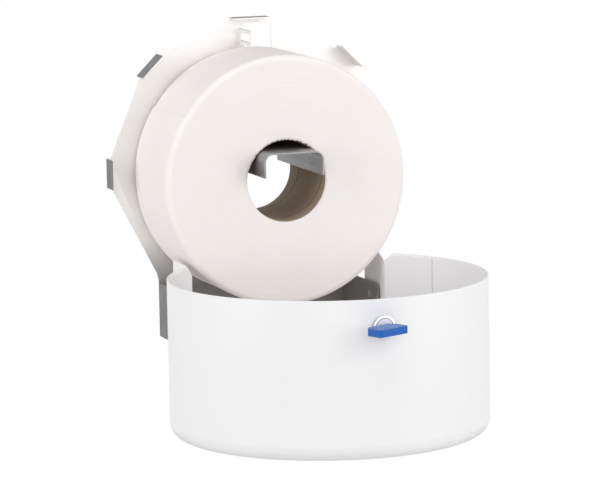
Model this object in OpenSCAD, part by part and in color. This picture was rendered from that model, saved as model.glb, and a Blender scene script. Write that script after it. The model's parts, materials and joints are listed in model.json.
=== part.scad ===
// Jumbo toilet roll dispenser in powder-coated sheet steel, for a wall.
// The wall is the plane y = 0, the front faces -Y and the roll turns about the Y axis at z = 0.
// It is drawn with its drum cover hanging open by a quarter turn, rim upward.

/* [Cover] */
// Outside diameter of the drum cover
cover_d = 280; // [260:1:320]
// Depth of the drum cover, from rim to front
cover_depth = 138; // [132:1:160]
// Outside rounding where the wall turns into the front
cover_edge_r = 13; // [8:1:18]
// Thickness of the cover's sheet
cover_sheet = 1.2; // [0.8:0.1:1.6]
// Gap between the closed cover's rim and the wall
rim_gap = 1; // [0.5:0.1:1.4]
// Height of the drum's axis above the roll's axis
drum_rise = 3; // [2:0.5:6]
// Width of the drum's wall left between the paper outlet and the rounded front edge
outlet_band = 25; // [20:1:30]
// Size of the slanted corner where the outlet meets the rim
outlet_corner = 6.5; // [6:0.5:9]

/* [Backplate] */
// Thickness of the backplate
plate_sheet = 1.2; // [1:0.1:1.6]
// Radial gap between the backplate's tabs and the inside of the cover
tab_gap = 1.2; // [0.8:0.1:2]
// Width of each centring tab at the sides
tab_w = 27; // [20:1:34]
// Width of the centring tab at the top
top_tab_w = 35; // [32:1:44]
// Length of each centring tab at the sides
tab_len = 19; // [7:0.5:22]
// Length of the centring tab at the top, which stops short of the lock's nut
top_tab_len = 13; // [7:0.5:13.5]
// Inward lean of each centring tab, in degrees
tab_lean = 1; // [0:0.5:15]
// Height of the straight edges beside each centring tab at the sides
tab_stub = 4; // [2:0.5:6]
// Height of the straight edges beside the centring tab at the top
top_tab_stub = 7; // [4:0.5:9]
// Width of the neck over its two ears
neck_w = 180; // [170:1:186]
// Height of the ears' top edge below the roll's axis
ear_top = 101; // [99:1:104]
// Height of the neck's bottom edge below the roll's axis
neck_bottom = 150; // [149:1:158]
// Depth of the ears, from the wall
ear_depth = 94; // [84:1:94]
// Rounding of the ears' front corners
ear_corner_r = 5; // [3:1:10]
// Width of the opening behind the roll's core
core_window_w = 80; // [74:1:90]
// Reach of the opening behind the core below the roll's axis
core_window_drop = 44; // [30:1:50]

/* [Wall fixing] */
// Distance between the screw holes, side to side
screw_span_x = 110; // [96:1:130]
// Distance between the screw holes, up and down
screw_span_z = 124; // [110:1:130]
// Diameter of the screw holes
screw_hole_d = 6.5; // [5:0.1:8]

/* [Latch] */
// Distance of the strike's fold from the middle, towards the left
strike_side = 8.5; // [8:0.5:12]
// Distance of the latch window's left edge from the middle, towards the left
latch_window_side = 3.5; // [2:0.5:5]
// Width of the latch window beside the strike
latch_window_w = 26; // [22:1:28]
// Height of the latch window
latch_window_h = 23; // [20:1:25]
// Depth of the strike, from the wall
strike_len = 35; // [34:0.5:38]
// Height of the strike
strike_h = 14; // [12:0.5:18]
// Width of the strike's upper and lower strips
strike_strip = 3.5; // [2:0.1:4]
// Width of the strike's front bar
strike_bar = 3.5; // [3:0.1:4]

/* [Roll bracket] */
// Width of the roll bracket
bracket_w = 56; // [46:1:56]
// Height of the bracket's top above the roll's axis
bracket_top = 28; // [22:0.5:28]
// Height of the bracket's sides
bracket_side = 22; // [18:1:26]
// Length of the bracket, from the plate
bracket_len = 126; // [112:1:128]
// Thickness of the bracket's sheet
bracket_sheet = 1.5; // [1.2:0.1:2]
// Outside rounding of the bracket's top corners
bracket_r = 8; // [7:0.5:12]
// Width of the bracket's feet
bracket_foot = 15; // [13:1:17]
// Diameter of the bracket rivets' shanks
rivet_d = 4; // [3:0.1:5]

/* [Hinge] */
// Distance of the hinge axis from the wall
hinge_out = 68; // [66:0.5:70]
// Distance of the hinge axis outside the drum's wall
hinge_below = 1; // [0:0.5:2]
// Diameter of the hinge pins
hinge_pin_d = 6; // [5:0.5:7]
// Radial clearance between a hinge pin and its arm
hinge_clear = 0.05; // [0.02:0.01:0.09]
// Width of the hinge pins' heads beyond the pins
pin_collar = 2; // [1:0.1:3]
// Width of the washers' rims beyond the pins
washer_rim = 3; // [2:0.1:4]
// Width of the clips' rims beyond the pins
clip_rim = 2.5; // [1.5:0.1:3.5]
// Thickness of the clips
clip_t = 0.8; // [0.6:0.1:1]
// Thickness of the hinge arms' sheet
arm_sheet = 1.2; // [1:0.1:1.6]
// Thickness of the washers between ears and arms
washer_t = 0.8; // [0.6:0.1:1]
// Free play at each face that turns past another
face_gap = 0.3; // [0.3:0.05:0.5]
// Distance from the hinge axis to the arms' lower and rear edges
arm_margin = 15; // [13:0.5:17]
// Width of the arms' weld flanges along the drum's wall
arm_flange = 50; // [40:1:54]
// Radius from the hinge axis to the stop pins
stop_r = 26; // [24:0.5:28]
// Diameter of the stop pins
stop_pin_d = 4; // [3:0.5:5]

/* [Tear bar] */
// Number of teeth on the tear bar
tear_teeth = 25; // [15:1:31]
// Length of a tooth
tooth_len = 5; // [3:0.5:6]
// Width of the strip that carries the teeth
tear_strip_w = 14; // [10:1:18]

/* [Lock] */
// Distance of the lock's axis from the cover's rim
lock_depth = 24; // [23:0.5:25]
// Diameter of the lock's outside ring
lock_ring_d = 20; // [17:0.5:21]
// Height of the lock's outside ring
lock_ring_h = 2; // [1.5:0.1:3]
// Diameter of the lock's threaded body
lock_body_d = 13; // [12:0.5:14]
// Depth of the cam below the cover's outside
cam_level = 20; // [19:0.5:21]
// Thickness of the cam
cam_t = 2; // [1.5:0.1:2.5]
// Length of the cam from the lock's axis
cam_len = 18; // [17:0.5:19]
// Width of the cam
cam_w = 9; // [8:0.5:10]
// Diameter of the lock's plug
plug_d = 8.6; // [8:0.1:9]
// Radial clearance between the plug and the lock's body
plug_clear = 0.05; // [0.02:0.01:0.09]

/* [Key] */
// Width of the key's blade
key_blade_w = 5.6; // [5:0.1:6]
// Thickness of the key's blade
key_blade_t = 1.6; // [1.4:0.1:2]
// Length of the key's blade inside the plug
key_blade_len = 14; // [12:0.5:15]
// Width of the key's head
key_head_w = 34; // [28:0.5:36]
// Length of the key's head
key_head_len = 20; // [18:0.5:22]
// Thickness of the key's head
key_head_t = 6.4; // [4:0.1:7]
// Angle by which the key's head is set askew on its blade, in degrees
key_head_skew = 26; // [0:1:30]
// Distance of the head's middle from the lock's axis, towards the left
key_head_side = 4.5; // [0:0.5:5]

/* [Roll] */
// Outside diameter of the paper roll
roll_d = 226; // [190:1:228]
// Width of the paper roll
roll_w = 100; // [90:1:104]
// Gap between the roll and the backplate
roll_standoff = 4.5; // [4.5:0.5:6]
// Outside diameter of the cardboard core
core_d = 76; // [74:0.5:80]
// Thickness of the core's wall
core_wall = 1.4; // [1.2:0.1:1.4]
// Rounding of the roll's edges
roll_edge_r = 3; // [2:0.5:4]

/* [Hidden] */
$fn = 96;
eps = 0.01;
white_paint = [0.95, 0.95, 0.95];
bare_steel = [0.75, 0.76, 0.78];
cover_r = cover_d / 2;
inner_r = cover_r - cover_sheet;
tab_r = inner_r - tab_gap;
outlet_depth = cover_depth - cover_edge_r - outlet_band;
hinge_drop = cover_r + hinge_below;
hinge_y = -hinge_out;
hinge_z = drum_rise - hinge_drop;
// Centre of the open cover's rim
rim_y = hinge_y - hinge_drop;
rim_z = hinge_z + hinge_out - rim_gap;
// Hinge axis in the cover's own frame, where z is the depth from the rim
cover_hinge_y = -hinge_drop;
cover_hinge_z = hinge_out - rim_gap;
// Faces along x of what turns on the hinge pins
ear_out_x = neck_w / 2;
ear_in_x = ear_out_x - plate_sheet;
arm_in_x = ear_out_x + washer_t + face_gap;
arm_out_x = arm_in_x + arm_sheet;
clip_x = arm_out_x + face_gap;
pin_head_t = 2;
pin_end = 1;
stop_head_t = 1;
stop_collar = 1.2;
window_edge = 7;
window_top_z = drum_rise + tab_r - window_edge;
window_mid_z = window_top_z - latch_window_h / 2;
strike_x = -strike_side;
strike_z = drum_rise + cover_r - cam_level - cam_t / 2;
bracket_bottom = bracket_top - bracket_side;
core_r = core_d / 2;
core_in_r = core_r - core_wall;
lock_nut_t = 3;
lock_washer_t = 1;
cam_gap = 0.3;
lock_body_len = cam_level - cam_gap;
// Directions from the hinge axis to the stop pin, seen from the arm: closed and open
stop_shut = 100;
stop_open = 10;
arm_bend_y = -sqrt(pow(inner_r - arm_sheet, 2) - pow(arm_in_x, 2));
arm_rear_z = 1.5;
// How far the arms' slanted corners reach below the rim
arm_corner = outlet_corner + 1.5;
// How far the arms stop short of the outlet's front edge
arm_inset = 2;
bracket_mid = (bracket_bottom + bracket_top - bracket_r) / 2;
strike_root = 5;
rivet_head = 0.9;
rivet_head_d = rivet_d * 1.8;
tear_sheet = 1;
tooth_half = 2.6;
tear_reach = 4;
tail_w = 5.5;
cam_eye_d = cam_w + 2;
cam_screw_d = 3;
cam_screw_head_d = 8;
cam_screw_head_t = 2;
cam_screw_len = 5;
plug_recess = 0.4;
key_fit = 0.1;
key_gap = 5.5;
key_head_z = lock_ring_h + key_gap;
key_tang = 10;
key_shoulder = 5;
key_corner = 2;
lock_nut_w = 19;
// How far a cutter runs past the sheet that it cuts
past = 1;
// The washer lies on the drum's curved wall with its edge
lock_washer_z = -cover_r + sqrt(inner_r * inner_r - lock_ring_d * lock_ring_d / 4) - lock_washer_t;

// A ring about the z axis
module ring(outer_r, inner_r, height) {
    difference() {
        cylinder(r = outer_r, h = height);
        translate([0, 0, -past]) cylinder(r = inner_r, h = height + 2 * past);
    }
}

// A cylinder along x, from one face to another
module rod_x(r, from_x, to_x) {
    translate([from_x, 0, 0]) rotate([0, 90, 0]) cylinder(r = r, h = to_x - from_x);
}

// A box given by its two far corners
module block(low, high) {
    translate(low) cube(high - low);
}

// Turns a drawing in x and z into a sheet in front of the wall
module wall_sheet(thickness) {
    rotate([90, 0, 0]) linear_extrude(height = thickness) children();
}

// Places what is drawn in the cover's own frame: x across, y to 12 o'clock, z the depth from the rim
module in_cover() {
    translate([0, rim_y, rim_z]) rotate([180, 0, 0]) children();
}

// Places what is drawn in the lock's frame: z outward from the drum's wall, x across
module in_lock() {
    translate([0, rim_y - cover_r, rim_z - lock_depth]) rotate([90, 0, 0]) children();
}

// Draws a piece and its mirror image across x = 0
module both_sides() {
    children();
    mirror([1, 0, 0]) children();
}

// Half the width of the tab that stands in the given direction, its edge's distance from the
// drum's axis, which keeps its corners on one circle, the height of its straight edges and the
// length of its bent part
function tab_half(angle) = (angle == 90 ? top_tab_w : tab_w) / 2;
function tab_edge(angle) = sqrt(pow(tab_r, 2) - pow(tab_half(angle), 2));
function stub(angle) = angle == 90 ? top_tab_stub : tab_stub;
function reach(angle) = angle == 90 ? top_tab_len : tab_len;

// A point beside that tab, on one side or the other, some way in from its edge
function tab_point(angle, side, inset) = [
    (tab_edge(angle) - inset) * cos(angle) - side * tab_half(angle) * sin(angle),
    drum_rise + (tab_edge(angle) - inset) * sin(angle) + side * tab_half(angle) * cos(angle)];
function tab_start(angle) = [tab_point(angle, -1, stub(angle)), tab_point(angle, -1, 0)];
function tab_stop(angle) = [tab_point(angle, 1, 0), tab_point(angle, 1, stub(angle))];

// The concave curve from the neck into the plate's lower slope, on the right
flare_r = 26;
flare_turn = 30;
flare_steps = 6;
flare = [for (i = [0:flare_steps]) let (turn = i * flare_turn / flare_steps) [
    ear_out_x + flare_r * (1 - cos(turn)), -ear_top + flare_r * sin(turn)]];

module plate_half() {
    polygon(concat(
        [[0, -neck_bottom], [ear_out_x, -neck_bottom]],
        flare,
        tab_start(0), tab_stop(0), tab_start(45), tab_stop(45), tab_start(90),
        [[0, drum_rise + tab_edge(90)]]));
}

// A tab bent forward from the plate's edge and leaning inward
module centring_tab(angle) {
    width = 2 * tab_half(angle);
    lean = [-sin(tab_lean), -cos(tab_lean)];
    across = plate_sheet * [-cos(tab_lean), sin(tab_lean)];
    bend = [tab_edge(angle), -plate_sheet];
    tip = bend + reach(angle) * lean;
    translate([0, 0, drum_rise]) rotate([0, -angle, 0]) translate([0, 0, -width / 2])
        linear_extrude(height = width) polygon([
            bend, tip, tip + across, bend + [-plate_sheet / cos(tab_lean), 0],
            [tab_edge(angle) - 2 * plate_sheet, 0], [tab_edge(angle), 0]]);
}

// The stop pin's place on the ear
module stop_place() {
    translate([0, hinge_y + stop_r * cos(stop_shut), hinge_z + stop_r * sin(stop_shut)])
        children();
}

// The neck's right ear, with its pin and stop holes
module ear() {
    difference() {
        union() {
            block([ear_in_x, -ear_depth + ear_corner_r, -neck_bottom], [ear_out_x, 0, -ear_top]);
            block([ear_in_x, -ear_depth, -neck_bottom + ear_corner_r],
                [ear_out_x, 0, -ear_top - ear_corner_r]);
            for (z = [-neck_bottom + ear_corner_r, -ear_top - ear_corner_r])
                translate([0, -ear_depth + ear_corner_r, z])
                    rod_x(ear_corner_r, ear_in_x, ear_out_x);
        }
        translate([0, hinge_y, hinge_z])
            rod_x(hinge_pin_d / 2, ear_in_x - past, ear_out_x + past);
        stop_place() rod_x(stop_pin_d / 2, ear_in_x - past, ear_out_x + past);
    }
}

// The strike: a slotted tab that stands forward beside the latch window
module strike() {
    low = strike_z - strike_h / 2;
    high = strike_z + strike_h / 2;
    difference() {
        block([strike_x, -strike_len, low], [strike_x + plate_sheet, 0, high]);
        block([strike_x - past, -strike_len + strike_bar, low + strike_strip],
            [strike_x + plate_sheet + past, -plate_sheet - strike_root, high - strike_strip]);
    }
}

// Cuts a rectangle, given by two corners in x and z, through the plate
module window_cut(low, high) {
    block([low.x, -plate_sheet - past, low.y], [high.x, past, high.y]);
}

module backplate() color(bare_steel) {
    difference() {
        union() {
            wall_sheet(plate_sheet) plate_half();
            mirror([1, 0, 0]) wall_sheet(plate_sheet) plate_half();
        }
        window_cut([-core_window_w / 2, -core_window_drop], [core_window_w / 2, bracket_bottom]);
        window_cut([-bracket_w / 2 + bracket_sheet, -core_window_drop],
            [bracket_w / 2 - bracket_sheet, bracket_top - bracket_r]);
        window_cut([-latch_window_side, window_top_z - latch_window_h],
            [latch_window_w - latch_window_side, window_top_z]);
        window_cut([strike_x + plate_sheet, strike_z - strike_h / 2],
            [0, strike_z + strike_h / 2]);
        for (x = [-1, 1], z = [-1, 1])
            translate([x * screw_span_x / 2, past, z * screw_span_z / 2]) rotate([90, 0, 0])
                cylinder(d = screw_hole_d, h = plate_sheet + 2 * past);
        bracket_rivet_places() translate([0, 0, -past])
            cylinder(d = rivet_d, h = plate_sheet + 2 * past);
    }
    for (angle = [0, 45, 90, 135, 180]) centring_tab(angle);
    both_sides() ear();
    strike();
}

// The places of the rivets through the bracket's feet, with z outward from the wall
module bracket_rivet_places() {
    for (x = [-bracket_w / 4, bracket_w / 4])
        translate([x, 0, bracket_top + bracket_foot / 2]) rotate([90, 0, 0]) children();
    for (x = [-1, 1])
        translate([x * (bracket_w + bracket_foot) / 2, 0, bracket_mid]) rotate([90, 0, 0])
            children();
}

// The bracket's cross-section, a channel open at the bottom
module channel_outline(inset) {
    half_w = bracket_w / 2 - inset;
    top = bracket_top - inset;
    r = bracket_r - inset;
    corner = [for (i = [0:8]) i * 90 / 8];
    polygon(concat(
        [[-half_w, bracket_bottom - inset], [half_w, bracket_bottom - inset]],
        [for (a = corner) [half_w - r + r * cos(a), top - r + r * sin(a)]],
        [for (a = corner) [-half_w + r - r * sin(a), top - r + r * cos(a)]]));
}

module roll_bracket() color(bare_steel) {
    foot_y = -plate_sheet - bracket_sheet;
    difference() {
        union() {
            translate([0, -plate_sheet, 0]) wall_sheet(bracket_len - plate_sheet) difference() {
                channel_outline(0);
                channel_outline(bracket_sheet);
            }
            block([-bracket_w / 2 + bracket_r, foot_y, bracket_top - bracket_sheet],
                [bracket_w / 2 - bracket_r, -plate_sheet, bracket_top + bracket_foot]);
            both_sides() block([bracket_w / 2 - bracket_sheet, foot_y, bracket_bottom],
                [bracket_w / 2 + bracket_foot, -plate_sheet, bracket_top - bracket_r]);
        }
        bracket_rivet_places() translate([0, 0, -past])
            cylinder(d = rivet_d, h = plate_sheet + bracket_sheet + 2 * past);
    }
}

module bracket_rivets() color(bare_steel)
    bracket_rivet_places() {
        cylinder(d = rivet_d, h = plate_sheet + bracket_sheet);
        translate([0, 0, plate_sheet + bracket_sheet])
            cylinder(d = rivet_head_d, h = rivet_head);
    }

// Pins fixed in the ears, with their heads inside and the arms turning on their ends
module hinge_pins() color(bare_steel)
    both_sides() translate([0, hinge_y, hinge_z]) {
        rod_x(hinge_pin_d / 2, ear_in_x - eps, clip_x + clip_t + pin_end);
        rod_x(hinge_pin_d / 2 + pin_collar, ear_in_x - pin_head_t, ear_in_x);
    }

module hinge_washers() color([0.9, 0.9, 0.88])
    both_sides() translate([0, hinge_y, hinge_z]) difference() {
        rod_x(hinge_pin_d / 2 + washer_rim, ear_out_x, ear_out_x + washer_t);
        rod_x(hinge_pin_d / 2, ear_out_x - past, ear_out_x + washer_t + past);
    }

module hinge_clips() color(bare_steel)
    both_sides() translate([0, hinge_y, hinge_z]) difference() {
        rod_x(hinge_pin_d / 2 + clip_rim, clip_x, clip_x + clip_t);
        rod_x(hinge_pin_d / 2, clip_x - past, clip_x + clip_t + past);
    }

module stop_pins() color(bare_steel)
    both_sides() stop_place() {
        rod_x(stop_pin_d / 2, ear_in_x - eps, arm_out_x + pin_end);
        rod_x(stop_pin_d / 2 + stop_collar, ear_in_x - stop_head_t, ear_in_x);
    }

// The outlet cut through the drum's wall, with slanted corners at the rim
module outlet_cut() {
    wide = arm_out_x + outlet_corner;
    translate([0, -cover_r / 2, 0]) rotate([90, 0, 0]) linear_extrude(height = cover_r)
        polygon([[-wide, -past], [wide, -past], [wide, 0], [arm_out_x, outlet_corner],
            [arm_out_x, outlet_depth], [-arm_out_x, outlet_depth], [-arm_out_x, outlet_corner],
            [-wide, 0]]);
}

module cover_drum() color(white_paint) in_cover() difference() {
    ring(cover_r, inner_r, cover_depth - cover_edge_r);
    outlet_cut();
    translate([0, cover_r + past, lock_depth]) rotate([90, 0, 0])
        cylinder(d = lock_body_d, h = lock_body_d);
}

// The dished front: a flat disc with a rounded edge
module cover_front() color(white_paint) in_cover() translate([0, 0, cover_depth - cover_edge_r])
    rotate_extrude() {
        translate([0, cover_edge_r - cover_sheet]) square([cover_r - cover_edge_r, cover_sheet]);
        translate([cover_r - cover_edge_r, 0]) difference() {
            intersection() {
                circle(r = cover_edge_r);
                square(cover_edge_r + past);
            }
            circle(r = cover_edge_r - cover_sheet);
        }
    }

// The curved slot that lets the stop pin pass from shut to open
module arm_stop_slot() {
    slot_r = stop_pin_d / 2 + face_gap;
    through = arm_sheet + 2 * past;
    translate([arm_in_x - past, cover_hinge_y, cover_hinge_z]) rotate([0, 90, 0]) {
        rotate([0, 0, stop_open]) rotate_extrude(angle = stop_shut - stop_open)
            translate([stop_r - slot_r, 0]) square([2 * slot_r, through]);
        for (turn = [stop_open, stop_shut])
            rotate([0, 0, turn]) translate([stop_r, 0, 0]) cylinder(r = slot_r, h = through);
    }
}

// The arm's cheek beside the outlet, with its corner cut where it swings under the roll
module arm_cheek() {
    low_y = cover_hinge_y - arm_margin;
    high_z = outlet_depth - arm_inset;
    difference() {
        translate([arm_in_x, 0, 0]) rotate([90, 0, 90]) linear_extrude(height = arm_sheet)
            polygon([
                [low_y, arm_rear_z], [arm_bend_y - 2 * arm_corner, arm_rear_z],
                [arm_bend_y, arm_corner], [arm_bend_y, high_z],
                [low_y + arm_margin, high_z], [low_y, high_z - arm_margin]]);
        translate([0, cover_hinge_y, cover_hinge_z])
            rod_x(hinge_pin_d / 2 + hinge_clear, arm_in_x - past, arm_out_x + past);
        arm_stop_slot();
    }
}

// The right hinge arm in the cover's frame: the cheek and a flange welded inside the drum's wall
module hinge_arm() {
    bend_angle = acos(arm_in_x / (inner_r - arm_sheet));
    flange_turn = arm_flange / inner_r * 180 / PI;
    arm_cheek();
    difference() {
        intersection() {
            translate([0, 0, arm_rear_z])
                ring(inner_r, inner_r - arm_sheet, outlet_depth - arm_inset - arm_rear_z);
            rotate([0, 0, -bend_angle]) linear_extrude(height = outlet_depth)
                polygon([[0, 0], [2 * inner_r, 0],
                    2 * inner_r * [cos(flange_turn), sin(flange_turn)]]);
        }
        outlet_corner_cut();
    }
}

// The slanted corner again, for the flange that backs it
module outlet_corner_cut() {
    translate([0, -cover_r / 2, 0]) rotate([90, 0, 0]) linear_extrude(height = cover_r)
        polygon([[0, -past], [arm_out_x + outlet_corner, -past], [arm_out_x + outlet_corner, 0],
            [arm_out_x, outlet_corner], [arm_out_x, arm_corner], [0, arm_corner]]);
}

module hinge_arm_left() color(white_paint) in_cover() mirror([1, 0, 0]) hinge_arm();

module hinge_arm_right() color(white_paint) in_cover() hinge_arm();

// A curved strip inside the drum's wall whose teeth reach into the outlet
module tear_bar() color(bare_steel) in_cover() {
    half_turn = asin((arm_in_x - face_gap) / inner_r);
    pitch = 2 * half_turn / tear_teeth;
    difference() {
        intersection() {
            translate([0, 0, outlet_depth - tooth_len])
                ring(inner_r, inner_r - tear_sheet, tear_strip_w + tooth_len);
            rotate([0, 0, -90]) linear_extrude(height = cover_depth)
                polygon([[0, 0], 2 * inner_r * [cos(half_turn), -sin(half_turn)], [2 * inner_r, 0],
                    2 * inner_r * [cos(half_turn), sin(half_turn)]]);
        }
        for (i = [0:tear_teeth])
            rotate([0, 0, -90 - half_turn + i * pitch]) translate([inner_r - tear_reach, 0, outlet_depth])
                rotate([90, 0, 90]) linear_extrude(height = 2 * tear_reach)
                    polygon([[0, 0], [tooth_half, -tooth_len - eps], [-tooth_half, -tooth_len - eps]]);
    }
}

// The lock's body, with the ring that shows outside and a bore for the plug
module lock_body() color(bare_steel) in_lock() difference() {
    union() {
        translate([0, 0, -lock_body_len]) cylinder(d = lock_body_d, h = lock_body_len + eps);
        cylinder(d = lock_ring_d, h = lock_ring_h);
    }
    translate([0, 0, -lock_body_len - past])
        cylinder(r = plug_d / 2 + plug_clear, h = lock_body_len + lock_ring_h + 2 * past);
}

module lock_washer() color(bare_steel) in_lock() translate([0, 0, lock_washer_z])
    ring(lock_ring_d / 2, lock_body_d / 2, lock_washer_t);

module lock_nut() color(bare_steel) in_lock() translate([0, 0, lock_washer_z - lock_nut_t])
    difference() {
        cylinder(d = lock_nut_w, h = lock_nut_t, $fn = 6);
        translate([0, 0, -past]) cylinder(d = lock_body_d, h = lock_nut_t + 2 * past);
    }

// The plug that the key turns, with a square tail for the cam
module lock_plug() color(bare_steel) in_lock() difference() {
    union() {
        translate([0, 0, -cam_level]) cylinder(d = plug_d, h = cam_level + lock_ring_h - plug_recess);
        translate([-tail_w / 2, -tail_w / 2, -cam_level - cam_t])
            cube([tail_w, tail_w, cam_t + eps]);
    }
    translate([-key_blade_w / 2 - key_fit, -key_blade_t / 2 - key_fit, -key_blade_len - key_fit])
        cube([key_blade_w + 2 * key_fit, key_blade_t + 2 * key_fit,
            key_blade_len + lock_ring_h + past]);
    translate([0, 0, -cam_level - cam_t - past]) cylinder(d = cam_screw_d, h = cam_screw_len + past);
}

// The cam, pointing to the front of the cover while the lock is open
module lock_cam() color(bare_steel) in_lock() translate([0, 0, -cam_level - cam_t])
    difference() {
        union() {
            cylinder(d = cam_eye_d, h = cam_t);
            translate([-cam_w / 2, -cam_len, 0]) cube([cam_w, cam_len, cam_t]);
        }
        translate([-tail_w / 2, -tail_w / 2, -past]) cube([tail_w, tail_w, cam_t + 2 * past]);
    }

module cam_screw() color(bare_steel) in_lock() {
    translate([0, 0, -cam_level - cam_t]) cylinder(d = cam_screw_d, h = cam_screw_len);
    translate([0, 0, -cam_level - cam_t - cam_screw_head_t])
        cylinder(d = cam_screw_head_d, h = cam_screw_head_t);
}

module key_blade() color(bare_steel) in_lock()
    translate([-key_blade_w / 2, -key_blade_t / 2, -key_blade_len])
        cube([key_blade_w, key_blade_t, key_blade_len + key_head_z + key_tang]);

// The key's flat head, with slanted corners, set askew about its middle
module key_head() color([0.15, 0.36, 0.75]) in_lock() difference() {
    half_w = key_head_w / 2;
    half_len = key_head_len / 2;
    translate([-key_head_side, key_head_t / 2, key_head_z + half_len]) rotate([90, 0, 0])
        rotate([0, 0, -key_head_skew]) linear_extrude(height = key_head_t) polygon([
            [-half_w + key_shoulder, -half_len], [half_w - key_shoulder, -half_len],
            [half_w, -half_len + key_shoulder], [half_w, half_len - key_corner],
            [half_w - key_corner, half_len], [-half_w + key_corner, half_len],
            [-half_w, half_len - key_corner], [-half_w, -half_len + key_shoulder]]);
    translate([-key_blade_w / 2, -key_blade_t / 2, 0])
        cube([key_blade_w, key_blade_t, key_head_z + key_tang]);
}

module cardboard_core() color([0.55, 0.45, 0.35])
    translate([0, -roll_standoff, 0]) rotate([90, 0, 0]) ring(core_r, core_in_r, roll_w);

// The wound paper, with slightly rounded edges
module paper_roll() color([0.93, 0.91, 0.89])
    translate([0, -roll_standoff, 0]) rotate([90, 0, 0]) rotate_extrude() {
        translate([core_r, 0]) square([roll_d / 2 - roll_edge_r - core_r, roll_w]);
        translate([core_r, roll_edge_r]) square([roll_d / 2 - core_r, roll_w - 2 * roll_edge_r]);
        for (y = [roll_edge_r, roll_w - roll_edge_r])
            translate([roll_d / 2 - roll_edge_r, y]) circle(r = roll_edge_r);
    }

backplate();
roll_bracket();
bracket_rivets();
hinge_pins();
hinge_washers();
hinge_clips();
stop_pins();
cover_drum();
cover_front();
hinge_arm_left();
hinge_arm_right();
tear_bar();
lock_body();
lock_washer();
lock_nut();
lock_plug();
lock_cam();
cam_screw();
key_blade();
key_head();
cardboard_core();
paper_roll();
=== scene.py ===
"""Looks of a jumbo toilet roll dispenser: powder-coated sheet steel, a cam lock and a tissue roll.

Lengths are in metres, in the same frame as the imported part: the wall is y = 0, the front faces -Y
and the roll turns about the Y axis through the origin.
"""
import json
import math

import bmesh
import bpy
from mathutils import Matrix, Vector, noise


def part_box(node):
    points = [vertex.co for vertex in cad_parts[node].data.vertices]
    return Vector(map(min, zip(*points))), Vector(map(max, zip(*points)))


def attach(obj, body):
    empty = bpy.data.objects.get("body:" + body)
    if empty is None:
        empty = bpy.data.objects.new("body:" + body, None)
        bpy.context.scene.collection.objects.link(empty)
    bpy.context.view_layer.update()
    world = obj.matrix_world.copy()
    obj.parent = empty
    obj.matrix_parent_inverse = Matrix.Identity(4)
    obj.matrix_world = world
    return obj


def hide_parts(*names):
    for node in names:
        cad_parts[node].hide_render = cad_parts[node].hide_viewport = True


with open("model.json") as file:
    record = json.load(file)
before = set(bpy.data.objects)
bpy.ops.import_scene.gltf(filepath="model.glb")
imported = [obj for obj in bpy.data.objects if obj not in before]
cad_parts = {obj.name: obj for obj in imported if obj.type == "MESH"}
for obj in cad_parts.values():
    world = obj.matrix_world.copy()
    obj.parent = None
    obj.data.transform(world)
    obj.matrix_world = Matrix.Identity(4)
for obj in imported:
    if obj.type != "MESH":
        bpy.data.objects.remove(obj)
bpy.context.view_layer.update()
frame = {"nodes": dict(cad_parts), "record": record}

MM = 0.001
body_of_node = {node: body for body, nodes in frame["record"]["behaviour"]["bodies"].items()
                for node in nodes}
slot_of_node = {part["node"]: part["material_slot"] for part in frame["record"]["subparts"]}

# Sizes taken from the frame

roll_low, roll_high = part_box("paper_roll")
ROLL_R = roll_high.x
CORE_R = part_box("cardboard_core")[1].x
ROLL_BACK_Y = roll_high.y
ROLL_FRONT_Y = roll_low.y
CORE_WALL = 1.4 * MM
EAR_X = 90 * MM
PLATE_SHEET = 1.2 * MM

# The plate goes from pale to darker grey between these heights, hidden behind the roll
PALE_ABOVE_Z = -60 * MM
DARK_BELOW_Z = -105 * MM

# The camera stands at the photograph's angle, left of the object and a little above it

PHOTO_WIDTH_PX = 600
FOCAL_PX = 3824.6
SENSOR_MM = 36.0
CAMERA_AT = Vector((-1.0960, -3.3095, 0.4352))
CAMERA_YAW = math.radians(-19.06)
CAMERA_PITCH = math.radians(-8.21)
CAMERA_ROLL = math.radians(-1.02)


def make_camera():
    forward = Vector((-math.sin(CAMERA_YAW) * math.cos(CAMERA_PITCH),
                      math.cos(CAMERA_YAW) * math.cos(CAMERA_PITCH),
                      math.sin(CAMERA_PITCH)))
    right = Vector((math.cos(CAMERA_YAW), math.sin(CAMERA_YAW), 0))
    up = right.cross(forward)
    turned_right = right * math.cos(CAMERA_ROLL) + up * math.sin(CAMERA_ROLL)
    turned_up = up * math.cos(CAMERA_ROLL) - right * math.sin(CAMERA_ROLL)
    data = bpy.data.cameras.new("camera")
    data.sensor_fit = "HORIZONTAL"
    data.sensor_width = SENSOR_MM
    data.lens = FOCAL_PX / PHOTO_WIDTH_PX * SENSOR_MM
    data.clip_start = 0.1
    data.clip_end = 50
    camera = bpy.data.objects.new("camera", data)
    axes = Matrix((turned_right, turned_up, -forward)).transposed().to_4x4()
    camera.matrix_world = Matrix.Translation(CAMERA_AT) @ axes
    bpy.context.scene.collection.objects.link(camera)
    bpy.context.scene.camera = camera


# Light: large soft lamps at the left, at the right, in front and above, and a white surround

def add_lamp(name, azimuth, elevation, distance, width, height, power):
    a, e = math.radians(azimuth), math.radians(elevation)
    target = Vector((0, -0.15, 0))
    back = Vector((math.sin(a) * math.cos(e), -math.cos(a) * math.cos(e), math.sin(e)))
    data = bpy.data.lights.new(name, "AREA")
    data.shape = "RECTANGLE"
    data.size = width
    data.size_y = height
    data.energy = power
    lamp = bpy.data.objects.new(name, data)
    lamp.location = target + back * distance
    lamp.rotation_mode = "QUATERNION"
    lamp.rotation_quaternion = (-back).to_track_quat("-Z", "Y")
    bpy.context.scene.collection.objects.link(lamp)


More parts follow.
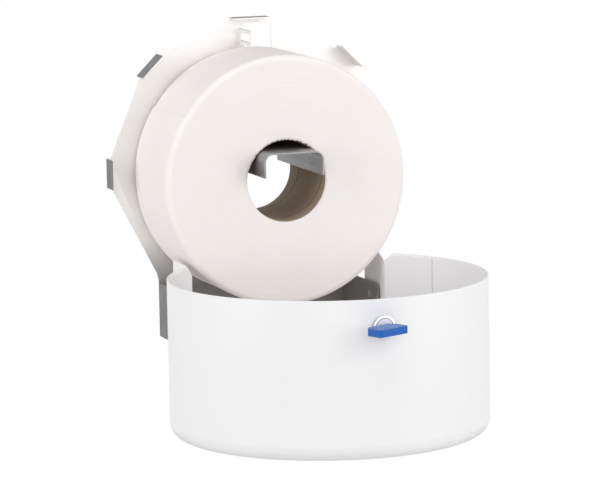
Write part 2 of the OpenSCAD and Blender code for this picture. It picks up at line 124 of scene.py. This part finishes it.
def make_world(ambient):
    """The surround gives an even light, and looks white to the camera and in reflections."""
    world = bpy.data.worlds.new("surround")
    bpy.context.scene.world = world
    world.use_nodes = True
    nodes, links = world.node_tree.nodes, world.node_tree.links
    nodes.clear()
    path = nodes.new("ShaderNodeLightPath")
    seen = nodes.new("ShaderNodeMath")
    seen.operation = "MAXIMUM"
    clear = nodes.new("ShaderNodeMath")
    clear.operation = "MAXIMUM"
    soft = nodes.new("ShaderNodeBackground")
    soft.inputs["Color"].default_value = (1, 1, 1, 1)
    soft.inputs["Strength"].default_value = ambient
    white = nodes.new("ShaderNodeBackground")
    white.inputs["Color"].default_value = (1, 1, 1, 1)
    white.inputs["Strength"].default_value = 1.0
    mix = nodes.new("ShaderNodeMixShader")
    out = nodes.new("ShaderNodeOutputWorld")
    links.new(path.outputs["Is Camera Ray"], seen.inputs[0])
    links.new(path.outputs["Is Glossy Ray"], seen.inputs[1])
    links.new(seen.outputs[0], clear.inputs[0])
    links.new(path.outputs["Is Transmission Ray"], clear.inputs[1])
    links.new(clear.outputs[0], mix.inputs["Fac"])
    links.new(soft.outputs[0], mix.inputs[1])
    links.new(white.outputs[0], mix.inputs[2])
    links.new(mix.outputs[0], out.inputs["Surface"])


def make_floor():
    """A pale round floor well below the dispenser, as it hangs on its wall."""
    floor_r = 2.6
    floor_z = -0.95
    paler_to_camera = 0.3
    bpy.ops.mesh.primitive_circle_add(vertices=128, radius=floor_r, fill_type="NGON",
                                      location=(0, -0.2, floor_z))
    floor = bpy.context.object
    floor.name = "floor"
    material = bpy.data.materials.new("pale_floor")
    material.use_nodes = True
    surface = material.node_tree.nodes["Principled BSDF"]
    surface.inputs["Base Color"].default_value = (0.86, 0.86, 0.86, 1)
    surface.inputs["Roughness"].default_value = 0.7
    surface.inputs["Emission Color"].default_value = (1, 1, 1, 1)
    nodes, links = material.node_tree.nodes, material.node_tree.links
    path = nodes.new("ShaderNodeLightPath")
    paler = nodes.new("ShaderNodeMath")
    paler.operation = "MULTIPLY"
    paler.inputs[1].default_value = paler_to_camera
    links.new(path.outputs["Is Camera Ray"], paler.inputs[0])
    links.new(paler.outputs[0], surface.inputs["Emission Strength"])
    floor.data.materials.append(material)


# Materials

class Finish:
    """A node material, with the kinds of node that the finishes share."""

    def __init__(self, name, colour, roughness, metallic=0.0):
        self.material = bpy.data.materials.new(name)
        self.material.use_nodes = True
        self.nodes = self.material.node_tree.nodes
        self.links = self.material.node_tree.links
        self.surface = self.nodes["Principled BSDF"]
        self.surface.inputs["Base Color"].default_value = (*colour, 1)
        self.surface.inputs["Roughness"].default_value = roughness
        self.surface.inputs["Metallic"].default_value = metallic
        self.place = self.nodes.new("ShaderNodeTexCoord").outputs["Object"]

    def set(self, **values):
        for name, value in values.items():
            self.surface.inputs[name.replace("_", " ")].default_value = value

    def stretched(self, x, y, z, source=None):
        node = self.nodes.new("ShaderNodeMapping")
        node.inputs["Scale"].default_value = (x, y, z)
        self.links.new(source or self.place, node.inputs["Vector"])
        return node.outputs["Vector"]

    def noise(self, scale, detail=2.0, source=None, roughness=0.5):
        node = self.nodes.new("ShaderNodeTexNoise")
        node.inputs["Scale"].default_value = scale
        node.inputs["Detail"].default_value = detail
        node.inputs["Roughness"].default_value = roughness
        self.links.new(source or self.place, node.inputs["Vector"])
        return node.outputs["Fac"]

    def range(self, value, low, high, from_low=0.3, from_high=0.7):
        node = self.nodes.new("ShaderNodeMapRange")
        node.inputs["From Min"].default_value = from_low
        node.inputs["From Max"].default_value = from_high
        node.inputs["To Min"].default_value = low
        node.inputs["To Max"].default_value = high
        self.links.new(value, node.inputs["Value"])
        return node.outputs["Result"]

    def math(self, operation, a, b=None, c=None):
        node = self.nodes.new("ShaderNodeMath")
        node.operation = operation
        for i, value in enumerate((a, b, c)):
            if value is None:
                continue
            if isinstance(value, (int, float)):
                node.inputs[i].default_value = value
            else:
                self.links.new(value, node.inputs[i])
        return node.outputs[0]

    def blend(self, value, first, second):
        """Goes from the first colour to the second, each a colour or a socket, as value rises to 1."""
        node = self.nodes.new("ShaderNodeMix")
        node.data_type = "RGBA"
        for name, colour in (("A", first), ("B", second)):
            if isinstance(colour, tuple):
                node.inputs[name].default_value = (*colour, 1)
            else:
                self.links.new(colour, node.inputs[name])
        self.links.new(value, node.inputs["Factor"])
        return node.outputs["Result"]

    def colour(self, value):
        self.links.new(value, self.surface.inputs["Base Color"])

    def rough(self, value):
        self.links.new(value, self.surface.inputs["Roughness"])

    def bump(self, height, strength, distance):
        node = self.nodes.new("ShaderNodeBump")
        node.inputs["Strength"].default_value = strength
        node.inputs["Distance"].default_value = distance
        self.links.new(height, node.inputs["Height"])
        self.links.new(node.outputs["Normal"], self.surface.inputs["Normal"])

    def separate(self):
        node = self.nodes.new("ShaderNodeSeparateXYZ")
        self.links.new(self.place, node.inputs[0])
        return node.outputs


def white_powder_coat():
    """Semi-gloss white powder coat with its faint orange peel."""
    f = Finish("white_powder_coat", (0.86, 0.85, 0.853), 0.36)
    f.colour(f.blend(f.range(f.noise(9, 3), 0, 1), (0.85, 0.84, 0.843), (0.87, 0.86, 0.862)))
    f.rough(f.range(f.noise(60, 3), 0.33, 0.42))
    f.bump(f.noise(520, 2), 0.10, 0.0003)
    f.set(Specular_IOR_Level=0.5, Coat_Weight=0.15, Coat_Roughness=0.25)
    return f.material


def dull_steel_back():
    """The dull grey back of the backplate's sheet."""
    f = Finish("dull_steel_back", (0.15, 0.147, 0.143), 0.5)
    f.colour(f.blend(f.range(f.noise(220, 4), 0, 1), (0.135, 0.132, 0.128), (0.168, 0.164, 0.16)))
    f.rough(f.range(f.noise(80, 3), 0.42, 0.56))
    f.bump(f.noise(900, 2), 0.12, 0.0002)
    return f.material


def zinc_plate():
    """Zinc-plated steel, slightly clouded."""
    f = Finish("zinc_plate", (0.66, 0.67, 0.68), 0.34, metallic=1.0)
    f.colour(f.blend(f.range(f.noise(260, 4), 0, 1), (0.58, 0.59, 0.60), (0.72, 0.73, 0.74)))
    f.rough(f.range(f.noise(420, 3), 0.26, 0.44))
    f.bump(f.noise(1500, 2), 0.08, 0.0001)
    return f.material


def chrome_plate():
    """Satin chrome on the lock, with fine turning marks."""
    f = Finish("chrome_plate", (0.80, 0.79, 0.80), 0.42, metallic=0.55)
    f.rough(f.range(f.noise(700, 3), 0.36, 0.48))
    f.bump(f.noise(2500, 1, f.stretched(1, 0.2, 1)), 0.04, 0.00005)
    return f.material


def satin_steel():
    """Pale satin sheet steel with faint lines of rolling; its neck and ears are a darker grey."""
    f = Finish("satin_steel", (0.82, 0.805, 0.79), 0.5, metallic=0.45)
    lines = f.noise(240, 3, f.stretched(0.06, 1, 1))
    pale = f.blend(f.range(f.noise(7, 2), 0, 1), (0.80, 0.78, 0.765), (0.84, 0.825, 0.81))
    darkness = f.range(f.separate()["Z"], 1, 0, DARK_BELOW_Z, PALE_ABOVE_Z)
    f.colour(f.blend(darkness, pale, (0.27, 0.258, 0.248)))
    f.rough(f.range(lines, 0.44, 0.54))
    f.bump(lines, 0.06, 0.0001)
    return f.material


def grey_steel():
    """The bracket's grey mill steel, the same on all its faces, streaked by rolling."""
    f = Finish("grey_steel", (0.30, 0.295, 0.30), 0.42, metallic=0.8)
    lines = f.noise(260, 3, f.stretched(1, 0.08, 1))
    f.colour(f.blend(f.range(lines, 0, 1), (0.27, 0.265, 0.27), (0.34, 0.335, 0.34)))
    f.rough(f.range(lines, 0.36, 0.50))
    f.bump(lines, 0.08, 0.0001)
    return f.material


def painted_groove_shade():
    """Painted shade: the dark lines in the groove of the lock's ring and round its foot."""
    f = Finish("painted_groove_shade", (0.16, 0.14, 0.15), 0.6)
    f.rough(f.range(f.noise(900, 2), 0.5, 0.7))
    return f.material


def white_nylon():
    """Smooth, slightly translucent nylon."""
    f = Finish("white_nylon", (0.82, 0.81, 0.78), 0.45)
    f.rough(f.range(f.noise(500, 2), 0.4, 0.52))
    f.bump(f.noise(1200, 2), 0.05, 0.0001)
    f.set(Subsurface_Weight=0.1, Subsurface_Scale=0.002)
    return f.material


def blue_plastic():
    """Moulded blue plastic with a fine spark-eroded grain."""
    f = Finish("blue_plastic", (0.012, 0.115, 0.43), 0.38)
    f.colour(f.blend(f.range(f.noise(180, 3), 0, 1), (0.010, 0.108, 0.41), (0.016, 0.124, 0.46)))
    f.rough(f.range(f.noise(1400, 2), 0.28, 0.42))
    f.bump(f.noise(2600, 2), 0.10, 0.0001)
    f.set(Specular_IOR_Level=0.28)
    return f.material


def brown_cardboard():
    """Grey-brown core board: fibres along the winding, and its spiral joint."""
    pitch = 62 * MM
    joint_width = 0.012
    f = Finish("brown_cardboard", (0.36, 0.28, 0.20), 0.85)
    fibres = f.noise(260, 5, f.stretched(1, 3.5, 1), 0.65)
    axes = f.separate()
    board = f.blend(f.range(fibres, 0, 1, 0.3, 0.7), (0.40, 0.31, 0.22), (0.54, 0.43, 0.32))
    turn = f.math("DIVIDE", f.math("ARCTAN2", axes["Z"], axes["X"]), 2 * math.pi)
    along = f.math("FRACT", f.math("MULTIPLY_ADD", axes["Y"], 1 / pitch, turn))
    joint = f.math("LESS_THAN", f.math("ABSOLUTE", f.math("SUBTRACT", along, 0.5)), joint_width)
    f.colour(f.blend(joint, board, (0.20, 0.15, 0.10)))
    f.rough(f.range(f.noise(90, 3), 0.78, 0.92))
    f.bump(fibres, 0.25, 0.0003)
    return f.material


def tissue_paper():
    """Soft off-white tissue: a crepe grain outside and the wound plies at the ends."""
    f = Finish("tissue_paper", (0.91, 0.863, 0.842), 0.92)
    axes = f.separate()
    x2 = f.math("MULTIPLY", axes["X"], axes["X"])
    radius = f.math("SQRT", f.math("MULTIPLY_ADD", axes["Z"], axes["Z"], x2))
    plies = f.math("SINE", f.math("MULTIPLY", radius, 9000.0))
    fluff = f.noise(420, 6, roughness=0.7)
    soft = f.noise(26, 3)
    f.colour(f.blend(f.range(soft, 0, 1), (0.905, 0.853, 0.832), (0.918, 0.872, 0.852)))
    height = f.math("MULTIPLY_ADD", plies, 0.25, fluff)
    f.bump(height, 0.22, 0.0004)
    f.set(Subsurface_Weight=0.1, Subsurface_Scale=0.004, Specular_IOR_Level=0.15)
    return f.material


FINISHES = {
    "white_powder_coat": white_powder_coat(),
    "satin_steel": satin_steel(),
    "zinc_steel": zinc_plate(),
    "chrome": chrome_plate(),
    "white_nylon": white_nylon(),
    "blue_plastic": blue_plastic(),
    "brown_cardboard": brown_cardboard(),
    "tissue_paper": tissue_paper(),
}
DULL_BACK = dull_steel_back()
GREY_STEEL = grey_steel()
PAINTED_GROOVE_SHADE = painted_groove_shade()


# Making pieces

def finished_piece(name, mesh, node, smooth_angle=35.0):
    """Makes an object of a mesh, in the finish and on the body of the CAD node that it replaces."""
    for polygon in mesh.polygons:
        polygon.use_smooth = True
    mesh.set_sharp_from_angle(angle=math.radians(smooth_angle))
    piece = bpy.data.objects.new(name, mesh)
    bpy.context.scene.collection.objects.link(piece)
    if not mesh.materials:
        mesh.materials.append(FINISHES[slot_of_node[node]])
    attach(piece, body_of_node[node])
    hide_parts(node)
    return piece


def softened(node, edge, steps=2):
    """A copy of a CAD node with its sharp edges slightly rounded, as sheet metal has them."""
    tree = bmesh.new()
    tree.from_mesh(frame["nodes"][node].data)
    bmesh.ops.remove_doubles(tree, verts=tree.verts, dist=2e-6)
    bmesh.ops.dissolve_limit(tree, angle_limit=math.radians(1.0), verts=tree.verts,
                             edges=tree.edges, delimit={"NORMAL"})
    mesh = bpy.data.meshes.new(node + "_softened")
    tree.to_mesh(mesh)
    tree.free()
    mesh.materials.clear()
    piece = finished_piece(node + "_finished", mesh, node)
    bevel = piece.modifiers.new("rounded_edges", "BEVEL")
    bevel.width = edge
    bevel.segments = steps
    bevel.limit_method = "ANGLE"
    bevel.angle_limit = math.radians(40)
    bevel.harden_normals = True
    return piece


def make_backplate():
    """Bright in front and dull behind, as its tabs and ears show where they are bent forward."""
    piece = softened("backplate", 0.25 * MM)
    piece.data.materials.append(DULL_BACK)
    for polygon in piece.data.polygons:
        normal, centre = polygon.normal, polygon.center
        outward = Vector((centre.x, 0, centre.z)).normalized()
        is_back = normal.y > 0.9
        is_ear_outside = abs(centre.x) > EAR_X - 0.1 * MM and normal.x * centre.x > 0.5 * abs(centre.x)
        is_ear_outside = is_ear_outside and centre.y < -PLATE_SHEET
        is_tab_outside = centre.y < -PLATE_SHEET * 1.5 and centre.z > -0.03 and normal.dot(outward) > 0.8
        if is_back or is_ear_outside or is_tab_outside:
            polygon.material_index = 1


def make_roll_bracket():
    """One grey steel on all its faces."""
    piece = softened("roll_bracket", 0.3 * MM)
    piece.data.materials[0] = GREY_STEEL


# Nodes that keep their CAD form, with the radius that their edges are rounded by
SOFT_EDGES = {
    "bracket_rivets": 0.3, "hinge_pins": 0.25, "hinge_washers": 0.15,
    "hinge_clips": 0.15, "stop_pins": 0.25, "cover_drum": 0.35, "cover_front": 0.2,
    "hinge_arm_left": 0.25, "hinge_arm_right": 0.25, "tear_bar": 0.1,
    "lock_washer": 0.1, "lock_nut": 0.3, "lock_plug": 0.12, "lock_cam": 0.25, "cam_screw": 0.3,
    "key_blade": 0.12, "key_head": 1.1,
}


def turned(name, node, profile, steps, axis_z=0.0):
    """A closed ring turned about an axis along Y; profile gives (radius, y) for a turn from 0 to 1."""
    tree = bmesh.new()
    rows = []
    for i in range(steps):
        turn = i / steps
        angle = turn * 2 * math.pi
        rows.append([tree.verts.new((radius * math.cos(angle), y, axis_z + radius * math.sin(angle)))
                     for radius, y in profile(turn)])
    for i in range(steps):
        here, there = rows[i], rows[(i + 1) % steps]
        for j in range(len(here)):
            k = (j + 1) % len(here)
            tree.faces.new((here[j], here[k], there[k], there[j]))
    bmesh.ops.recalc_face_normals(tree, faces=tree.faces)
    mesh = bpy.data.meshes.new(name)
    tree.to_mesh(mesh)
    tree.free()
    return finished_piece(name, mesh, node)


def around(turn):
    """The direction of a turn from 0 to 1 about the roll's axis."""
    angle = turn * 2 * math.pi
    return Vector((math.cos(angle), 0, math.sin(angle)))


def make_paper_roll():
    """The wound roll: uneven plies on its faces, soft edges and the loose end of the last ply."""
    edge_r = 5 * MM
    face_steps = 60
    side_steps = 24
    edge_steps = 6
    face_sink = 0.35 * MM
    tail_turn = 0.405
    tail_flat = 0.065
    tail_dip = 1.3 * MM
    middle = (ROLL_FRONT_Y + ROLL_BACK_Y) / 2

    def outer_radius(turn):
        """The last ply ends at the tail, and the roll is a little flat for a stretch beyond it."""
        beyond = (tail_turn - turn) % 1.0
        dip = 0.35 * MM * beyond
        if beyond < tail_flat:
            dip = tail_dip * (0.55 + 0.45 * math.cos(math.pi * beyond / tail_flat))
        return ROLL_R - 0.3 * MM - dip

    def unevenness(ring, radius, side):
        fine = noise.noise(Vector((radius * 900, side * 7.0, 0)) + ring * 1.5)
        slow = noise.noise(Vector((radius * 60, side * 3.0, 0)) + ring * 1.2)
        return 0.12 * MM * fine + 0.2 * MM * slow

    def lip(ring, side):
        """The innermost plies, pulled a little over the end of the core and torn along the top."""
        top = min(max((ring.z - 0.2) * 3, 0.0), 1.0)
        torn = min(max(0.5 + 1.8 * noise.noise(ring * 22 + Vector((side, 0, 0))), 0.0), 1.0)
        over = (1.1 * (1 - top) + top * (0.1 + 1.4 * torn)) * MM
        return [(CORE_R + 0.02 * MM, 1.9 * MM), (CORE_R - over, 1.8 * MM),
                (CORE_R - 0.9 * over, 1.2 * MM), (CORE_R - 0.3 * over, 0.7 * MM)]

    def half(turn, side):
        """From the core to the middle of the outside, on the front (side 1) or back (side -1)."""
        ring, outer = around(turn), outer_radius(turn)
        face_y = ROLL_FRONT_Y if side > 0 else ROLL_BACK_Y
        points = [(radius, face_y + side * depth) for radius, depth in lip(ring, side)]
        for i in range(face_steps + 1):
            radius = CORE_R + 0.6 * MM + (outer - edge_r - CORE_R - 0.6 * MM) * i / face_steps
            points.append((radius, face_y + side * (face_sink + unevenness(ring, radius, side))))
        for i in range(1, edge_steps + 1):
            a = math.radians(90 * i / edge_steps)
            points.append((outer - edge_r + edge_r * math.sin(a),
                           face_y + side * (face_sink + edge_r - edge_r * math.cos(a))))
        edge_y = face_y + side * (face_sink + edge_r)
        for i in range(1, side_steps // 2 + 1):
            y = edge_y + (middle - edge_y) * i / (side_steps // 2)
            swell = noise.noise(Vector((0, y * 30, 0)) + ring * 2.5) * 0.15 * MM
            points.append((outer - 0.1 * MM + swell, y))
        return points

    turned("wound_tissue", "paper_roll",
           lambda turn: half(turn, 1) + half(turn, -1)[-2::-1], 420)


def make_core():
    """The spiral-wound tube: its ends stop inside the paper and its bore is slightly uneven."""
    recess = 2.0 * MM
    steps = 60
    front, back = ROLL_FRONT_Y + recess, ROLL_BACK_Y - recess

    def profile(turn):
        ring = around(turn)
        points = [(CORE_R - 0.02 * MM, back), (CORE_R - 0.02 * MM, front)]
        for i in range(steps + 1):
            y = front + (back - front) * i / steps
            wave = 0.12 * MM * noise.noise(ring * 2 + Vector((0, y * 40, 0)))
            points.append((CORE_R - CORE_WALL + 0.1 * MM + wave, y))
        return points

    turned("wound_core", "cardboard_core", profile, 240)


def make_lock_body():
    """The lock's ring, with its chamfer and painted shade in its groove and round its foot, and its
    barrel.
    """
    low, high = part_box("lock_body")
    ring_r, axis_z = high.x, (low.z + high.z) / 2
    bore_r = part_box("lock_plug")[1].x + 0.05 * MM
    barrel_r = 6.5 * MM
    ring_h = 2 * MM
    face_y, drum_y, end_y = low.y, low.y + ring_h, high.y
    groove = 0.65 * MM
    flat_r = ring_r * 0.80
    thread = 1.0 * MM
    outline = [
        (bore_r, face_y + 0.4 * MM), (bore_r + 0.3 * MM, face_y + 0.1 * MM),
        (flat_r - groove, face_y + 0.1 * MM), (flat_r - 0.8 * groove, face_y + 2 * groove),
        (flat_r - 0.2 * groove, face_y + 2 * groove), (flat_r, face_y),
        (ring_r - 0.35 * MM, face_y + 0.45 * MM), (ring_r, face_y + 0.8 * MM),
        (ring_r, drum_y - 0.4 * MM), (ring_r - 0.5 * MM, drum_y - 0.4 * MM),
        (ring_r - 0.5 * MM, drum_y), (barrel_r, drum_y)]
    turns = int((end_y - drum_y - 1.5 * MM) / thread)
    for i in range(turns):
        y = drum_y + 1.2 * MM + i * thread
        outline += [(barrel_r, y), (barrel_r - 0.35 * MM, y + thread / 2)]
    outline += [(barrel_r, end_y - 0.3 * MM), (barrel_r - 0.3 * MM, end_y), (bore_r, end_y)]
    piece = turned("lock_ring_and_barrel", "lock_body", lambda turn: outline, 120, axis_z)
    piece.data.materials.append(PAINTED_GROOVE_SHADE)
    # Painted shade: faces in the ring's groove and on the wall at its foot take the dark colour
    for polygon in piece.data.polygons:
        radius = (polygon.center - Vector((0, polygon.center.y, axis_z))).length
        in_groove = flat_r - 0.9 * groove < radius < flat_r - 0.1 * groove and polygon.center.y < drum_y
        at_foot = radius > ring_r - 0.6 * MM and polygon.center.y > face_y + 0.7 * MM
        if in_groove or at_foot:
            polygon.material_index = 1


make_camera()
add_lamp("lamp_left", -80, 16, 1.9, 1.2, 1.6, 17)
add_lamp("lamp_right", 42, 16, 1.9, 1.2, 1.6, 17)
add_lamp("lamp_front", -14, 12, 2.2, 1.6, 1.6, 9)
add_lamp("lamp_top", -15, 75, 1.8, 1.4, 1.4, 6)
make_world(0.40)
make_floor()
bpy.context.scene.view_settings.view_transform = "Standard"

make_backplate()
make_roll_bracket()
for node, edge in SOFT_EDGES.items():
    softened(node, edge * MM)
make_paper_roll()
make_core()
make_lock_body()
